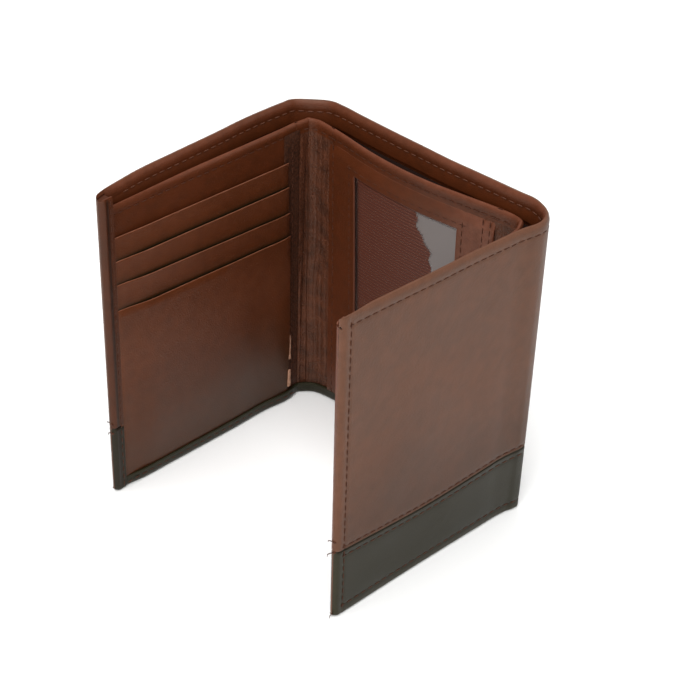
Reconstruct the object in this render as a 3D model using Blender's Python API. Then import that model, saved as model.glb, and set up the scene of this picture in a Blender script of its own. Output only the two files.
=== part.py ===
"""A trifold leather wallet, standing half open on its lower edge.

Three leaves stand on edge: a centre leaf and two that fold onto it. Each leaf is a stack: an outer
leather skin with a dark band along its foot, a stiffener, the lining of the note compartment, the
open compartment itself, and the inner wall with its pockets or its identity window. The leaves
meet in two upright folds of soft leather. The right leaf closes first, and the left one over it.

Plan sizes are in millimetres and turned to metres where an object is made. A place on a leaf is
given by its run, measured along the leaf from the outer corner of its fold, and its depth,
measured inward from the leaf's outer face.
"""

import math

import bmesh
import bpy
from mathutils import Vector

MM = 0.001

# The three leaves
HEIGHT = 106.0
CENTRE_WIDTH = 95.0
LEFT_LENGTH = 88.0
RIGHT_LENGTH = 76.0
LEFT_ANGLE = math.radians(86.0)
RIGHT_ANGLE = math.radians(90.0)

# Each fold turns about an upright axis, this far inside both of its leaves' outer faces
LEFT_FOLD_DEPTH = 12.3
RIGHT_FOLD_DEPTH = 8.1
LEFT_FOLD_RUN = LEFT_FOLD_DEPTH / math.tan(LEFT_ANGLE / 2)
RIGHT_FOLD_RUN = RIGHT_FOLD_DEPTH / math.tan(RIGHT_ANGLE / 2)
FOLD_GAP = 0.3
FOLD_STEPS = 6
LAYER_STEPS = 6

# How far each fold's outer sheets, and its gather, reach out towards the corner
LEFT_FULLNESS = 0.6
LEFT_GATHER_FULLNESS = 0.15
RIGHT_FULLNESS = 0.75
RIGHT_GATHER_FULLNESS = 0.8

# The outer leather
SKIN = 1.0
BAND_TOP = 24.3
SEAM_GAP = 0.3
HEM_WIDTH = 4.5
HEM_LIP = 0.6
LIP_TOP = 3.2
LIP_SKIN = 0.1
FOLD_HOLLOW_DEPTHS = (7.0, 7.5)
CUT_PAST = 5.0

# The layers behind it, as depths from the outer face
STIFFENER_DEPTH = 1.25
STIFFENER = 0.3
LINING_DEPTH = 1.8
LINING = 0.3
LINING_TOP = 103.0
FLOOR_CLEARANCE = 0.3

# The inner wall's layers, as depths from the leaf's base depth
CENTRE_BASE = 6.5
RIGHT_BASE = 2.4
LEFT_BASE = 2.4
LEFT_BASE_RISE = 0.8
LEFT_BASE_CURVE = 1.5
WALL_DEPTH = 0.5
WALL = 0.5
WALL_TOP = 101.5
FRONT_DEPTH = 1.2
EDGE_CLEARANCE = 0.3
LAYER_CLEARANCE = 0.2

# Card pockets: the mouths' heights, and each layer's thickness and its step to the next
MOUTHS = (90.5, 82.2, 73.5)
FRONT_MOUTH = 65.2
POCKET_STRIP = 14.0
POCKET = 0.35
POCKET_STEP = 0.55
POCKET_BACKING = 0.4
POCKET_TOP = 100.0
FRONT_POCKET = 0.4
SLIP_LINING = 0.2
POCKET_START = 17.5
RIGHT_POCKET_START = 12.0

# The identity window
WINDOW_RUN = (28.5, 71.5)
WINDOW_HEIGHTS = (12.0, 90.5)
FRAME_RUN = (16.0, 85.5)
FRAME_HEIGHTS = (3.5, 100.0)
BACKING = 0.3
FILM_DEPTH = 1.75
FILM = 0.2
FRAME_DEPTH = 2.2
FRAME = 0.6

# Seam threads
THREAD_RADIUS = 0.2
THREAD_DEPTH = -0.45
TOP_SEAM = 3.6
BOTTOM_SEAM = 3.2
EDGE_SEAM = 3.0
BAND_SEAM = 1.8
WINDOW_SEAM = 1.8

FINISHES = {
    "brown_leather": ((0.16, 0.065, 0.045), 0.35),
    "dark_leather": ((0.035, 0.034, 0.027), 0.4),
    "inner_leather": ((0.12, 0.036, 0.016), 0.35),
    "grained_leather": ((0.10, 0.035, 0.02), 0.5),
    "lining_fabric": ((0.03, 0.018, 0.015), 0.85),
    "ribbed_fabric": ((0.11, 0.035, 0.025), 0.8),
    "stiffener_board": ((0.35, 0.3, 0.24), 0.9),
    "clear_film": ((0.6, 0.6, 0.62), 0.1),
    "thread": ((0.03, 0.014, 0.01), 0.7),
}


class Leaf:
    """A leaf's plan: its outer corner, the way it runs and the way its inside faces."""

    def __init__(self, name, corner, heading, facing, first, last):
        self.name = name
        self.corner = Vector(corner)
        self.along = Vector((math.cos(heading), math.sin(heading)))
        self.inward = Vector((math.cos(facing), math.sin(facing)))
        self.first = first
        self.last = last

    def place(self, run, depth):
        return self.corner + self.along * run + self.inward * depth


LEFT_CORNER = (-CENTRE_WIDTH / 2, 0.0)
RIGHT_CORNER = (CENTRE_WIDTH / 2, 0.0)
CENTRE = Leaf(
    "centre",
    LEFT_CORNER,
    0.0,
    -math.pi / 2,
    LEFT_FOLD_RUN + FOLD_GAP,
    CENTRE_WIDTH - RIGHT_FOLD_RUN - FOLD_GAP,
)
LEFT = Leaf(
    "left",
    LEFT_CORNER,
    -LEFT_ANGLE,
    math.pi / 2 - LEFT_ANGLE,
    LEFT_FOLD_RUN + FOLD_GAP,
    LEFT_LENGTH,
)
RIGHT = Leaf(
    "right",
    RIGHT_CORNER,
    RIGHT_ANGLE - math.pi,
    RIGHT_ANGLE + math.pi / 2,
    RIGHT_FOLD_RUN + FOLD_GAP,
    RIGHT_LENGTH,
)


# The wallet's origin is under the middle of the box around it
LEFTMOST = LEFT.place(LEFT.first, THREAD_DEPTH - THREAD_RADIUS).x
RIGHTMOST = RIGHT.place(0.0, THREAD_DEPTH - THREAD_RADIUS).x
BACKMOST = -(THREAD_DEPTH - THREAD_RADIUS)
FRONTMOST = LEFT.place(LEFT_LENGTH, 0.0).y
MIDDLE = Vector(((LEFTMOST + RIGHTMOST) / 2, (BACKMOST + FRONTMOST) / 2))


def make_finish(name):
    colour, roughness = FINISHES[name]
    finish = bpy.data.materials.new(name)
    finish.use_nodes = True
    shader = finish.node_tree.nodes["Principled BSDF"]
    shader.inputs["Base Color"].default_value = (*colour, 1.0)
    shader.inputs["Roughness"].default_value = roughness
    shader.inputs["Metallic"].default_value = 0.0
    return finish


def finish_of(name):
    return bpy.data.materials.get(name) or make_finish(name)


def make_pivot(name, point):
    """An empty on a fold's axis, which that leaf's pieces hang from."""
    pivot = bpy.data.objects.new(name, None)
    pivot.location = ((point.x - MIDDLE.x) * MM, (point.y - MIDDLE.y) * MM, 0.0)
    pivot.empty_display_size = 0.01
    bpy.data.collections["trifold_wallet"].objects.link(pivot)
    return pivot


def hang(piece, leaf, height):
    """Put a piece at a height, under its leaf's pivot."""
    pivot = bpy.data.objects.get(f"{leaf.name}_pivot")
    start = Vector((-MIDDLE.x * MM, -MIDDLE.y * MM, height * MM))
    piece.location = start - pivot.location if pivot else start
    piece.parent = pivot


def turned_left(outline):
    """The outline in the order that leaves its inside on the left."""
    pairs = zip(outline, outline[1:] + outline[:1])
    area = sum(a.x * b.y - b.x * a.y for a, b in pairs)
    return outline if area > 0 else outline[::-1]


def prism(name, outline, low, high, finish, leaf, collection="trifold_wallet"):
    """A flat outline in plan, carried straight up between two heights."""
    curve = bpy.data.curves.new(name, "CURVE")
    curve.dimensions = "2D"
    curve.fill_mode = "BOTH"
    curve.extrude = (high - low) / 2 * MM
    spline = curve.splines.new("POLY")
    spline.points.add(len(outline) - 1)
    for point, place in zip(spline.points, turned_left(outline)):
        point.co = (place.x * MM, place.y * MM, 0.0, 1.0)
    spline.use_cyclic_u = True
    curve.materials.append(finish_of(finish))
    piece = bpy.data.objects.new(name, curve)
    bpy.data.collections[collection].objects.link(piece)
    hang(piece, leaf, (low + high) / 2)
    return piece


def as_mesh(piece):
    """The same piece as a closed mesh, which a Boolean can cut."""
    bpy.context.view_layer.update()
    evaluated = piece.evaluated_get(bpy.context.evaluated_depsgraph_get())
    mesh = bpy.data.meshes.new_from_object(evaluated)
    shape = bmesh.new()
    shape.from_mesh(mesh)
    bmesh.ops.remove_doubles(shape, verts=shape.verts, dist=0.00001)
    shape.to_mesh(mesh)
    shape.free()
    name, collection = piece.name, piece.users_collection[0]
    copy = bpy.data.objects.new(name, mesh)
    copy.parent = piece.parent
    copy.location = piece.location
    bpy.data.objects.remove(piece)
    copy.name = name
    collection.objects.link(copy)
    return copy


def cut(piece, outline, low, high, leaf):
    """Take a prism out of a piece."""
    name = f"cutter_{len(bpy.data.collections['cutters'].objects)}"
    cutter = as_mesh(prism(name, outline, low, high, "thread", leaf, "cutters"))
    cutter.hide_render = True
    cutter.display_type = "WIRE"
    boolean = piece.modifiers.new("cut", "BOOLEAN")
    boolean.operation = "DIFFERENCE"
    boolean.solver = "EXACT"
    boolean.object = cutter


def layer_outline(leaf, start, end, near, far):
    """The plan of a layer between two depths."""

    def side(depth):
        steps = LAYER_STEPS if callable(depth) else 1
        runs = [start + (end - start) * step / steps for step in range(steps + 1)]
        return [leaf.place(run, depth_at(depth, run)) for run in runs]

    return side(near) + side(far)[::-1]


def layer(name, leaf, start, end, depth, thickness, low, high, finish):
    """One upright sheet of a leaf's stack."""
    outline = layer_outline(leaf, start, end, depth, raised(depth, thickness))
    return prism(name, outline, low, high, finish, leaf)


def left_base(run):
    """The left leaf's inner wall stands off more and more towards its fold."""
    share = (LEFT_LENGTH - run) / (LEFT_LENGTH - LEFT.first)
    return LEFT_BASE + LEFT_BASE_RISE * max(share, 0.0) ** LEFT_BASE_CURVE


def depth_at(depth, run):
    """A depth is a number or a function of the run."""
    return depth(run) if callable(depth) else depth


def raised(depth, amount):
    """The same depth and a fixed amount more."""
    if callable(depth):
        return lambda run: depth(run) + amount
    return depth + amount


def wrapped_outline(leaf, base):
    """The plan of outer leather that turns in around the leaf's free edge and over its front."""
    lip = depth_at(base, leaf.last) + FRONT_DEPTH
    corners = [
        (leaf.first, 0.0),
        (leaf.last, 0.0),
        (leaf.last, lip + HEM_LIP),
        (leaf.last - HEM_WIDTH, lip + HEM_LIP),
        (leaf.last - HEM_WIDTH, lip),
        (leaf.last - SKIN, lip),
        (leaf.last - SKIN, SKIN),
        (leaf.first, SKIN),
    ]
    return [leaf.place(run, depth) for run, depth in corners]


def make_outer_leather(leaf, base, wraps):
    """The brown skin above and the dark band below, which also closes the leaf's foot."""
    if wraps:
        outline = wrapped_outline(leaf, base)
    else:
        outline = layer_outline(leaf, leaf.first, leaf.last, 0.0, SKIN)
    prism(f"{leaf.name}_shell", outline, BAND_TOP + SEAM_GAP, HEIGHT, "brown_leather", leaf)

    front = raised(base, FRONT_DEPTH + HEM_LIP)
    block = layer_outline(leaf, leaf.first, leaf.last, 0.0, front)
    band = as_mesh(prism(f"{leaf.name}_band", block, 0.0, BAND_TOP, "dark_leather", leaf))
    inside_end = leaf.last - SKIN if wraps else leaf.last + 1.0
    lip_end = leaf.last - HEM_WIDTH if wraps else leaf.last + 1.0
    start = leaf.first - 1.0
    hollow = layer_outline(leaf, start, inside_end, SKIN, raised(base, FRONT_DEPTH))
    cut(band, hollow, SKIN, BAND_TOP + CUT_PAST, leaf)
    behind, past = raised(base, FRONT_DEPTH - LIP_SKIN), raised(base, CUT_PAST)
    above_lip = layer_outline(leaf, start, lip_end, behind, past)
    cut(band, above_lip, LIP_TOP, BAND_TOP + CUT_PAST, leaf)


def make_back_layers(leaf, base, end):
    """The stiffener, the compartment's lining, and the inner wall with the lining on its back."""
    foot = SKIN + FLOOR_CLEARANCE
    start = leaf.first
    layer(
        f"{leaf.name}_stiffener", leaf, start, end, STIFFENER_DEPTH, STIFFENER,
        foot, LINING_TOP, "stiffener_board",
    )
    layer(
        f"{leaf.name}_bill_lining", leaf, start, end, LINING_DEPTH, LINING,
        foot, LINING_TOP, "lining_fabric",
    )
    layer(
        f"{leaf.name}_divider_lining", leaf, start, end, base, LINING,
        foot, WALL_TOP, "lining_fabric",
    )
    layer(
        f"{leaf.name}_inner_wall", leaf, start, end, raised(base, WALL_DEPTH), WALL,
        foot, WALL_TOP, "inner_leather",
    )


def make_card_pockets(leaf, base, start, end, depth):
    """Three card pockets, stepped forward, and a tall front pocket below and in front of them."""
    for number, mouth in enumerate(MOUTHS):
        front = raised(base, depth + number * POCKET_STEP)
        layer(
            f"{leaf.name}_card_pocket_{number + 1}", leaf, start, end, front, POCKET,
            mouth - POCKET_STRIP, mouth, "inner_leather",
        )
    front = raised(base, depth + len(MOUTHS) * POCKET_STEP)
    layer(
        f"{leaf.name}_front_pocket", leaf, start, end, front, FRONT_POCKET,
        LIP_TOP + EDGE_CLEARANCE, FRONT_MOUTH, "inner_leather",
    )


def make_left_leaf():
    make_outer_leather(LEFT, left_base, True)
    make_back_layers(LEFT, left_base, LEFT_LENGTH - SKIN - EDGE_CLEARANCE)
    end = LEFT_LENGTH - HEM_WIDTH - EDGE_CLEARANCE
    foot = LIP_TOP + EDGE_CLEARANCE
    layer(
        "left_slip_lining", LEFT, LEFT.first, end, raised(left_base, FRONT_DEPTH), SLIP_LINING,
        foot, POCKET_TOP, "lining_fabric",
    )
    backing = FRONT_DEPTH + SLIP_LINING + LAYER_CLEARANCE
    layer(
        "left_pocket_backing", LEFT, POCKET_START, end, raised(left_base, backing), POCKET_BACKING,
        foot, POCKET_TOP, "inner_leather",
    )
    first = backing + POCKET_BACKING + LAYER_CLEARANCE
    make_card_pockets(LEFT, left_base, POCKET_START, end, first)


def make_right_leaf():
    make_outer_leather(RIGHT, RIGHT_BASE, True)
    make_back_layers(RIGHT, RIGHT_BASE, RIGHT_LENGTH - SKIN - EDGE_CLEARANCE)
    end = RIGHT_LENGTH - HEM_WIDTH - EDGE_CLEARANCE
    make_card_pockets(RIGHT, RIGHT_BASE, RIGHT_POCKET_START, end, FRONT_DEPTH)


def make_centre_leaf():
    make_outer_leather(CENTRE, CENTRE_BASE, False)
    make_back_layers(CENTRE, CENTRE_BASE, CENTRE.last)
    start, end = FRAME_RUN
    low, high = FRAME_HEIGHTS
    back = CENTRE_BASE + FRONT_DEPTH + LAYER_CLEARANCE
    layer("id_backing", CENTRE, start, end, back, BACKING, low, high, "ribbed_fabric")
    film = CENTRE_BASE + FILM_DEPTH + LAYER_CLEARANCE
    layer("id_film", CENTRE, start, end, film, FILM, low, high, "clear_film")
    front = CENTRE_BASE + FRAME_DEPTH + LAYER_CLEARANCE
    frame = as_mesh(layer("id_frame", CENTRE, start, end, front, FRAME, low, high, "inner_leather"))
    window = layer_outline(CENTRE, *WINDOW_RUN, front - 1.0, front + FRAME + 1.0)
    cut(frame, window, *WINDOW_HEIGHTS, CENTRE)


def bent(start, corner, end, fullness):
    """A bend from start to end that reaches part of the way out to the corner."""
    middle = (start + end) / 2
    pull = middle + (corner - middle) * fullness
    points = []
    for step in range(FOLD_STEPS + 1):
        t = step / FOLD_STEPS
        points.append(start * (1 - t) ** 2 + pull * 2 * t * (1 - t) + end * t**2)
    return points


def bend_outline(leaf, leaf_depths, centre_run, centre_depths, run, fullness):
    """The plan of a sheet that bends from a side leaf round to the centre leaf."""
    sides = []
    for leaf_depth, centre_depth in zip(leaf_depths, centre_depths):
        start = leaf.place(run, leaf_depth)
        end = CENTRE.place(centre_run, centre_depth)
        inset = (leaf_depth + centre_depth) / 2
        away = (leaf.inward + CENTRE.inward) * inset
        sides.append(bent(start, leaf.corner + away, end, fullness))
    return sides[0] + sides[1][::-1]


def make_fold(leaf, base, centre_run, past_centre, fullness, gather_fullness):
    """The soft pieces that bridge a side leaf and the centre leaf."""
    side = leaf.name
    run = leaf.first - FOLD_GAP

    def bend(name, leaf_depths, centre_depths, low, high, finish, full=fullness):
        outline = bend_outline(leaf, leaf_depths, centre_run, centre_depths, run, full)
        return prism(f"{side}_fold_{name}", outline, low, high, finish, CENTRE)

    skin = (0.0, SKIN)
    bend("shell", skin, skin, BAND_TOP + SEAM_GAP, HEIGHT, "brown_leather")
    lining = (LINING_DEPTH, LINING_DEPTH + LINING)
    bend("lining", lining, lining, SKIN + FLOOR_CLEARANCE, LINING_TOP, "lining_fabric")
    wall = depth_at(base, run) + WALL_DEPTH
    centre_wall = CENTRE_BASE + WALL_DEPTH
    bend(
        "gather", (wall, wall + WALL), (centre_wall, centre_wall + WALL),
        SKIN + FLOOR_CLEARANCE, WALL_TOP, "grained_leather", gather_fullness,
    )
    solid = (0.0, wall - EDGE_CLEARANCE)
    centre_solid = (0.0, centre_wall - EDGE_CLEARANCE)
    band = as_mesh(bend("band", solid, centre_solid, FLOOR_CLEARANCE, BAND_TOP, "dark_leather"))
    outer = bend_outline(leaf, skin, centre_run, skin, run, fullness)[FOLD_STEPS + 1 :]
    hollow = [outer[0] + past_centre, *outer, outer[-1] + leaf.along]
    leaf_depth, centre_depth = FOLD_HOLLOW_DEPTHS
    hollow += [leaf.place(run + 1.0, leaf_depth), CENTRE.place(centre_run, centre_depth) + past_centre]
    cut(band, hollow, SKIN, BAND_TOP + CUT_PAST, CENTRE)


def thread(name, leaf, route, closed=False, depth=THREAD_DEPTH):
    """A seam's thread along a route of runs and heights, just clear of the leather."""
    curve = bpy.data.curves.new(name, "CURVE")
    curve.dimensions = "3D"
    curve.bevel_depth = THREAD_RADIUS * MM
    curve.bevel_resolution = 0
    curve.use_fill_caps = not closed
    spline = curve.splines.new("POLY")
    spline.points.add(len(route) - 1)
    for point, (run, height) in zip(spline.points, route):
        place = leaf.place(run, depth)
        point.co = (place.x * MM, place.y * MM, height * MM, 1.0)
    spline.use_cyclic_u = closed
    curve.materials.append(finish_of("thread"))
    piece = bpy.data.objects.new(name, curve)
    bpy.data.collections["trifold_wallet"].objects.link(piece)
    hang(piece, leaf, 0.0)


def make_threads():
    """The rows of stitches: along the edges, beside the band's seam and around the window."""
    top, bottom = HEIGHT - TOP_SEAM, BOTTOM_SEAM
    for leaf in (LEFT, RIGHT):
        start, edge = leaf.first, leaf.last - EDGE_SEAM
        route = [(start, top), (edge, top), (edge, bottom), (start, bottom)]
        thread(f"{leaf.name}_edge_thread", leaf, route)
    thread("centre_top_thread", CENTRE, [(CENTRE.first, top), (CENTRE.last, top)])
    thread("centre_bottom_thread", CENTRE, [(CENTRE.first, bottom), (CENTRE.last, bottom)])
    seam = BAND_TOP + SEAM_GAP / 2
    rows = (("upper", seam + BAND_SEAM), ("lower", seam - BAND_SEAM))
    for row, height in rows:
        for leaf in (LEFT, CENTRE, RIGHT):
            end = leaf.last if leaf is CENTRE else leaf.last - EDGE_SEAM - 1.0
            route = [(leaf.first, height), (end, height)]
            thread(f"{leaf.name}_band_thread_{row}", leaf, route)
    start, end = WINDOW_RUN[0] - WINDOW_SEAM, WINDOW_RUN[1] + WINDOW_SEAM
    low, high = WINDOW_HEIGHTS[0] - WINDOW_SEAM, WINDOW_HEIGHTS[1] + WINDOW_SEAM
    front = CENTRE_BASE + FRAME_DEPTH + LAYER_CLEARANCE + FRAME - THREAD_DEPTH
    around = [(start, low), (end, low), (end, high), (start, high)]
    thread("window_thread", CENTRE, around, closed=True, depth=front)


def clear_scene():
    for piece in list(bpy.data.objects):
        bpy.data.objects.remove(piece)
    for name in ("trifold_wallet", "cutters"):
        collection = bpy.data.collections.new(name)
        bpy.context.scene.collection.children.link(collection)


def build():
    clear_scene()
    make_pivot("left_pivot", LEFT.place(LEFT_FOLD_RUN, LEFT_FOLD_DEPTH))
    make_pivot("right_pivot", RIGHT.place(RIGHT_FOLD_RUN, RIGHT_FOLD_DEPTH))
    make_centre_leaf()
    make_left_leaf()
    make_right_leaf()
    make_fold(LEFT, left_base, LEFT_FOLD_RUN, CENTRE.along, LEFT_FULLNESS, LEFT_GATHER_FULLNESS)
    right_run = CENTRE_WIDTH - RIGHT_FOLD_RUN
    make_fold(RIGHT, RIGHT_BASE, right_run, -CENTRE.along, RIGHT_FULLNESS, RIGHT_GATHER_FULLNESS)
    make_threads()


build()
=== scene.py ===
"""A trifold wallet of smooth brown leather with a dark band along its foot, standing half open.

The pieces are made in the order a leather worker puts them together: the outer leather, its
stiffeners and linings, the inner wall and its gathers, the card pockets, the identity window, and
last the rows of stitches. Places are in millimetres and become metres where a mesh is made.
"""

import math

import bmesh
import bpy
import numpy as np
from mathutils import Matrix, Vector


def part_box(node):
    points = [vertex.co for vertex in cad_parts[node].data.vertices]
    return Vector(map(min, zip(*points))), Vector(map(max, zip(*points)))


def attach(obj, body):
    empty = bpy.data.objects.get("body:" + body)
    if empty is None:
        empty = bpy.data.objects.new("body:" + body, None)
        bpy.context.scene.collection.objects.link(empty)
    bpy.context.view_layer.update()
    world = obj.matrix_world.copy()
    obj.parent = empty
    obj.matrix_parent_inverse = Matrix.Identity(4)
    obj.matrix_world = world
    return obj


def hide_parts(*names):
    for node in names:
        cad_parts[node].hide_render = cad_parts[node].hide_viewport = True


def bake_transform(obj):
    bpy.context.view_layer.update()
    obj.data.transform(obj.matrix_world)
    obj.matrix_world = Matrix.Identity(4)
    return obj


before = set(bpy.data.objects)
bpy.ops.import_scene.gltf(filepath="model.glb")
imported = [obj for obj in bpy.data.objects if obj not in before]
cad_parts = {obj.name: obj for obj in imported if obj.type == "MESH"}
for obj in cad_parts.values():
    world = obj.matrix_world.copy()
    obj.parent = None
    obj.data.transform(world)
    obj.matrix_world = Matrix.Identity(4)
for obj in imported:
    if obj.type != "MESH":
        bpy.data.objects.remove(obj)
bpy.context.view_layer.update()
MM = 0.001

# Stage ------------------------------------------------------------------------------------------
# A pale painted table under three large soft lights and an even white surround, with a long lens
# looking down at the opened wallet from its front right.

STAGE_CAMERA = (0.36888, -0.34344, 0.42427)
AZIMUTH, ELEVATION, ROLL = (math.radians(angle) for angle in (45.92, 36.12, 1.494))
forward = Vector(
    (
        -math.sin(AZIMUTH) * math.cos(ELEVATION), math.cos(AZIMUTH) * math.cos(ELEVATION),
        -math.sin(ELEVATION),
    )
)
sideways = Vector((math.cos(AZIMUTH), math.sin(AZIMUTH), 0.0))
upward = sideways.cross(forward)
camera_x = sideways * math.cos(ROLL) + upward * math.sin(ROLL)
camera_y = upward * math.cos(ROLL) - sideways * math.sin(ROLL)
camera = bpy.data.objects.new("camera", bpy.data.cameras.new("camera"))
camera.data.lens = 111.32
camera.data.sensor_width = 36.0
turned = Matrix((camera_x, camera_y, -forward)).transposed().to_4x4()
camera.matrix_world = Matrix.Translation(STAGE_CAMERA) @ turned
bpy.context.scene.collection.objects.link(camera)
bpy.context.scene.camera = camera
bpy.context.scene.view_settings.view_transform = "Standard"


def linear(text):
    """An sRGB hex colour as linear red, green, blue and a full alpha."""
    parts = [int(text[start : start + 2], 16) / 255 for start in (1, 3, 5)]
    return (*(part / 12.92 if part <= 0.04045 else ((part + 0.055) / 1.055) ** 2.4 for part in parts), 1.0)


def add(tree, kind, inputs=(), **settings):
    """A node with its settings, and its inputs linked or set."""
    node = tree.nodes.new(kind)
    for name, value in settings.items():
        setattr(node, name, value)
    for name, value in dict(inputs).items():
        if isinstance(value, bpy.types.NodeSocket):
            tree.links.new(value, node.inputs[name])
        else:
            node.inputs[name].default_value = value
    return node


def new_material(name, roughness=0.5, specular=0.5):
    material = bpy.data.materials.new(name)
    material.use_nodes = True
    shader = material.node_tree.nodes["Principled BSDF"]
    shader.inputs["Roughness"].default_value = roughness
    shader.inputs["Specular IOR Level"].default_value = specular
    return material, material.node_tree, shader


def mixed(tree, share, first, second):
    """Two colours mixed, each given as a hex colour or as another node's output."""
    first, second = (linear(part) if isinstance(part, str) else part for part in (first, second))
    mix = add(tree, "ShaderNodeMix", {"Factor": share, 6: first, 7: second}, data_type="RGBA")
    return mix.outputs[2]


def calc(tree, operation, first, second):
    return add(tree, "ShaderNodeMath", {0: first, 1: second}, operation=operation).outputs[0]


def raised(tree, shader, depth, height, **settings):
    """Relief of a depth in millimetres."""
    inputs = {"Distance": depth * MM, "Height": height}
    bump = add(tree, "ShaderNodeBump", inputs, **settings)
    tree.links.new(bump.outputs[0], shader.inputs["Normal"])


def clouds(tree, place, size, detail, **settings):
    """Soft noise whose patches have a size in millimetres."""
    inputs = {"Vector": place, "Scale": 1000 / size, "Detail": detail, **settings}
    return add(tree, "ShaderNodeTexNoise", inputs)


def bands(tree, place, period, direction, settings=()):
    """Even stripes, one period apart in millimetres."""
    inputs = {"Vector": place, "Scale": 314 / period, **dict(settings)}
    return add(tree, "ShaderNodeTexWave", inputs, bands_direction=direction).outputs["Fac"]


painted_table, tree, shader = new_material("matt_white_table_paint", 0.9, 0.1)
shader.inputs["Base Color"].default_value = linear("#fafaf9")

table_mesh = bpy.data.meshes.new("table_top")
half = 4.0
corners = [(-half, -half, 0), (half, -half, 0), (half, half, 0), (-half, half, 0)]
table_mesh.from_pydata(corners, [], [(0, 1, 2, 3)])
table_mesh.materials.append(painted_table)
table_top = bpy.data.objects.new("table_top", table_mesh)
bpy.context.scene.collection.objects.link(table_top)

surround = bpy.data.worlds.new("white_surround")
surround.use_nodes = True
surround.node_tree.nodes["Background"].inputs["Color"].default_value = linear("#ffffff")
surround.node_tree.nodes["Background"].inputs["Strength"].default_value = 0.5
bpy.context.scene.world = surround


def soft_light(name, place, aim, size, power):
    light = bpy.data.lights.new(name, "AREA")
    light.shape = "SQUARE"
    light.size = size
    light.energy = power
    lamp = bpy.data.objects.new(name, light)
    lamp.location = place
    lamp.rotation_mode = "QUATERNION"
    lamp.rotation_quaternion = (Vector(aim) - Vector(place)).to_track_quat("-Z", "Y")
    bpy.context.scene.collection.objects.link(lamp)


soft_light("key_light", (0.55, -0.75, 0.85), (0.0, 0.0, 0.05), 0.7, 7.8)
soft_light("top_light", (0.0, -0.1, 1.05), (0.0, 0.0, 0.0), 0.8, 9.0)
soft_light("side_light", (0.8, 0.5, 0.45), (0.03, 0.03, 0.05), 0.6, 1.2)

# Plan of the leaves -----------------------------------------------------------------------------
# Three leaves of leather stand on edge and meet in two soft folds. A place along the whole wallet
# is its reach in millimetres, growing from the left free edge round both folds to the right one.

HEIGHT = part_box("centre_shell")[1].z / MM
LEFT_LENGTH, CENTRE_WIDTH, RIGHT_LENGTH = 88.0, 95.0, 76.0
LEFT_ANGLE = math.radians(86.0)
LEFT_FOLD, RIGHT_FOLD = 13.19, 8.1
LEFT_END, CENTRE_START, RIGHT_START = 86.5, 76.0, 166.5
FIRST_REACH = LEFT_END - LEFT_LENGTH
LAST_REACH = RIGHT_START + RIGHT_LENGTH
MID_CENTRE = CENTRE_START + CENTRE_WIDTH / 2
OUTER_LEAN, WALL_LEAN = 0.8, 1.2

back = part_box("centre_shell")[1].y / MM
right_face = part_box("right_shell")[1].x / MM


class Leaf:
    """One leaf's plan: its outer corner, the way it runs and the way its inside faces."""

    def __init__(self, corner, along, inward):
        self.corner, self.along, self.inward = (np.array(part, float) for part in (corner, along, inward))

    def place(self, run, depth):
        return self.corner + self.along * run + self.inward * depth


left_corner = (right_face - CENTRE_WIDTH, back)
centre = Leaf(left_corner, (1, 0), (0, -1))
left = Leaf(
    left_corner, (math.cos(LEFT_ANGLE), -math.sin(LEFT_ANGLE)), (math.sin(LEFT_ANGLE), math.cos(LEFT_ANGLE))
)
right = Leaf((right_face, back), (0, -1), (-1, 0))


def smooth_line(*points):
    """A smooth line through its points: the first number of each is the place along it."""
    knots = np.array([point[0] for point in points], float)
    values = np.array([point[1:] for point in points], float)
    steps = np.diff(knots)[:, None]
    rises = np.diff(values, axis=0) / steps
    inner = (rises[:-1] * steps[1:] + rises[1:] * steps[:-1]) / (steps[1:] + steps[:-1])
    slopes = np.vstack([rises[:1], inner, rises[-1:]])

    def at(reach):
        reach = np.clip(np.asarray(reach, float), knots[0], knots[-1])
        index = np.clip(np.searchsorted(knots, reach, side="right") - 1, 0, len(knots) - 2)
        width = knots[index + 1] - knots[index]
        t = (reach - knots[index]) / width
        t, width = t[..., None], width[..., None]
        return (
            values[index] * (1 + 2 * t) * (1 - t) ** 2
            + slopes[index] * width * t * (1 - t) ** 2
            + values[index + 1] * t**2 * (3 - 2 * t)
            + slopes[index + 1] * width * t**2 * (t - 1)
        )

    return at


def leaf_points(leaf, runs, reach_of, depths):
    depth = smooth_line(*depths)
    return [(reach_of(run), *leaf.place(run, depth(run)[0])) for run in runs]


LEFT_RUNS = (88, 85, 72, 56, 40, 27, 18.5, 13)
CENTRE_RUNS = (15, 21, 34, 47.5, 58, 68, 77.5, 83)
RIGHT_RUNS = (9, 16, 28, 43, 58, 70, 74, 76)


def rail(left_depths, left_fold, centre_depths, right_fold, right_depths):
    """A line round all three leaves, from depths on each leaf and points through each fold."""
    points = leaf_points(left, LEFT_RUNS, lambda run: LEFT_END - run, left_depths)
    points += [(reach, *leaf.place(run, depth)) for reach, leaf, run, depth in left_fold]
    points += leaf_points(centre, CENTRE_RUNS, lambda run: CENTRE_START + run, centre_depths)
    points += [(reach, *leaf.place(run, depth)) for reach, leaf, run, depth in right_fold]
    points += leaf_points(right, RIGHT_RUNS, lambda run: RIGHT_START + run, right_depths)
    return smooth_line(*points)


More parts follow.
